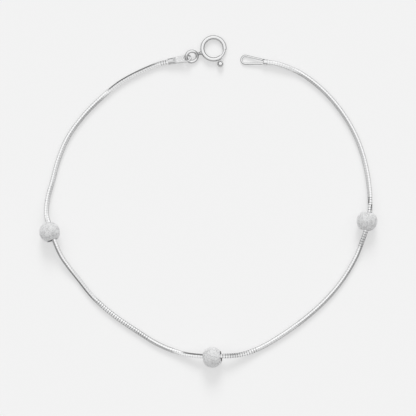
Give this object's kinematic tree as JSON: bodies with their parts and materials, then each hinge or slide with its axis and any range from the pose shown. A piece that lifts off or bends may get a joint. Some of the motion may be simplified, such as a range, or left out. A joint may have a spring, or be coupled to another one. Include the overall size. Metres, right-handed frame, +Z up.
{
  "type": "beaded chain bracelet",
  "caption": "Fine silver snake chain bracelet threaded through round satin beads, lying open, with a spring ring clasp at one end and a wire catch loop at the other.",
  "frame": {"origin": "on the surface the bracelet lies on, under the middle of its overall box", "axes": "+Z up out of the surface; +Y from the middle towards the clasp; +X from the clasp towards the catch loop"},
  "size_m": [0.065, 0.0641, 0.004],
  "materials": {
    "chain_silver": "mirror polished silver links",
    "clasp_silver": "polished silver",
    "tag_silver": "softly polished silver sheet",
    "bead_silver": "satin silver with a fine sparkling grain"
  },
  "bodies": {
    "bracelet": {"snake_chain": "chain_silver", "bead_1": "bead_silver", "bead_2": "bead_silver", "bead_3": "bead_silver", "spring_ring_body": "clasp_silver", "end_tag": "tag_silver", "catch_loop": "clasp_silver"},
    "trigger": {"spring_ring_lever": "clasp_silver"}
  },
  "joints": [
    {"name": "clasp_lever", "type": "hinge", "parent": "bracelet", "child": "trigger", "pos_m": [0.00102, 0.02962, 0.00056], "axis": [0.0462, 0.0471, 0.9978], "range_deg": [-50, 0], "stiffness_Nm_per_rad": 0.001, "springref_deg": 22.92}
  ]
}
